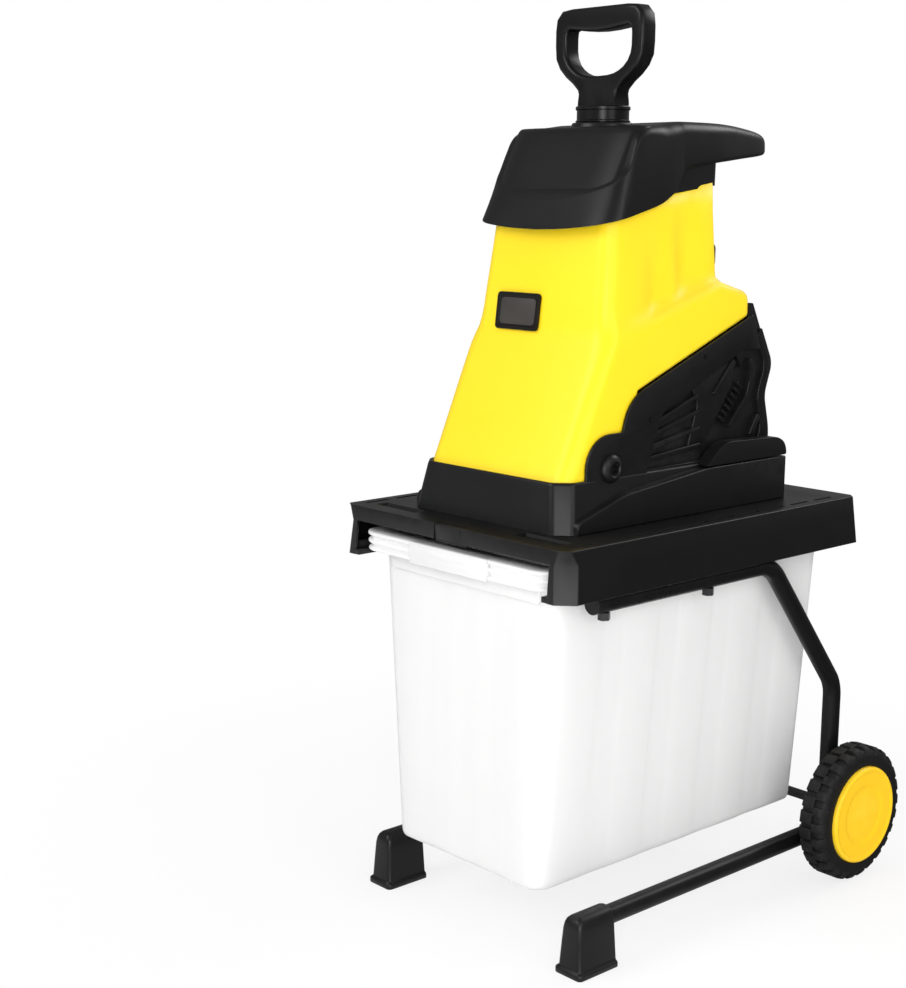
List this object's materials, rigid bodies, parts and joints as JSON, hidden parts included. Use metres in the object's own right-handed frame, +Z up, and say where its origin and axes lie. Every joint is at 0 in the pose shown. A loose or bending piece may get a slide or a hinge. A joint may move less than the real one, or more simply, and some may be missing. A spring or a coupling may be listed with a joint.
{
  "type": "leaf shredder",
  "caption": "Electric leaf shredder: a tilting yellow hopper with black hood and D-grip plunger over a knife disc, on a deck with a slide-out white box and a wheeled tube frame.",
  "frame": {"origin": "on the ground under the centre of the whole machine's box", "axes": "+Z up, front of the machine towards -Y, +X across the machine along the axle"},
  "size_m": [0.442, 0.588, 1.0435],
  "materials": {
    "black_plastic": "fine-grained satin black moulding",
    "yellow_plastic": "smooth satin yellow moulding",
    "box_plastic": "milky translucent white moulding",
    "wheel_plastic": "matt black moulding",
    "black_tube": "semi-gloss black powder coat",
    "zinc_steel": "zinc plated",
    "tool_steel": "ground",
    "cast_aluminium": "as cast",
    "core_iron": "varnished laminations",
    "chute_sheet": "galvanised sheet",
    "badge_plastic": "glossy black, bare",
    "green_plastic": "smooth",
    "red_plastic": "smooth"
  },
  "bodies": {
    "chassis": {"side_frame_left": "black_tube", "side_frame_right": "black_tube", "foot_left": "black_plastic", "foot_right": "black_plastic", "axle": "zinc_steel", "axle_nuts": "zinc_steel", "axle_washers": "zinc_steel", "deck": "black_plastic", "frame_bolts": "zinc_steel", "base_housing": "black_plastic", "hinge_bolts": "zinc_steel", "motor_cover": "black_plastic", "cover_screws": "zinc_steel", "chamber_plate": "cast_aluminium", "motor_stator": "core_iron", "end_shield": "cast_aluminium", "bearing_upper": "zinc_steel", "bearing_lower": "zinc_steel"},
    "wheel_left": {"wheel_left": "wheel_plastic", "hub_cap_left": "yellow_plastic"},
    "wheel_right": {"wheel_right": "wheel_plastic", "hub_cap_right": "yellow_plastic"},
    "box": {"collection_box": "box_plastic"},
    "hopper": {"hopper": "yellow_plastic", "hood": "black_plastic", "feed_chute": "chute_sheet", "badge_plate": "badge_plastic", "switch_box": "black_plastic", "power_inlet": "black_plastic"},
    "plunger": {"plunger_grip": "black_plastic", "plunger_shaft": "black_plastic"},
    "rotor": {"rotor_shaft": "zinc_steel", "armature": "core_iron", "cooling_fan": "black_plastic", "blade_disc": "tool_steel", "blades": "tool_steel", "blade_screws": "zinc_steel", "disc_bolt": "zinc_steel"},
    "on_button": {"on_button": "green_plastic"},
    "off_button": {"off_button": "red_plastic"},
    "lock_slide": {"lock_slide": "black_plastic"},
    "locking_knob": {"locking_knob": "black_plastic"}
  },
  "joints": [
    {"name": "wheel_left_spin", "type": "hinge", "parent": "chassis", "child": "wheel_left", "pos_m": [-0.198, 0.209, 0.085], "axis": [1, 0, 0], "continuous": true},
    {"name": "wheel_right_spin", "type": "hinge", "parent": "chassis", "child": "wheel_right", "pos_m": [0.198, 0.209, 0.085], "axis": [1, 0, 0], "continuous": true},
    {"name": "box_slide", "type": "slide", "parent": "chassis", "child": "box", "axis": [0, -1, 0], "range_m": [0, 0.45]},
    {"name": "hopper_tilt", "type": "hinge", "parent": "chassis", "child": "hopper", "pos_m": [0, -0.156, 0.546], "axis": [1, 0, 0], "range_deg": [0, 45]},
    {"name": "plunger_lift", "type": "slide", "parent": "hopper", "child": "plunger", "axis": [0, 0, 1], "range_m": [0, 0.3]},
    {"name": "rotor_spin", "type": "hinge", "parent": "chassis", "child": "rotor", "pos_m": [0, 0, 0.66022], "axis": [0, -0.3665, 0.9304], "continuous": true},
    {"name": "on_press", "type": "slide", "parent": "hopper", "child": "on_button", "axis": [0, -1, 0], "range_m": [0, 0.003], "stiffness_N_per_m": 600},
    {"name": "off_press", "type": "slide", "parent": "hopper", "child": "off_button", "axis": [0, -1, 0], "range_m": [0, 0.003], "stiffness_N_per_m": 600},
    {"name": "lock_lift", "type": "slide", "parent": "chassis", "child": "lock_slide", "axis": [0, 0, 1], "range_m": [0, 0.006]},
    {"name": "knob_turn", "type": "hinge", "parent": "hopper", "child": "locking_knob", "pos_m": [0, 0.062, 0.73021], "axis": [0, 0.2234, 0.9747], "continuous": true}
  ]
}
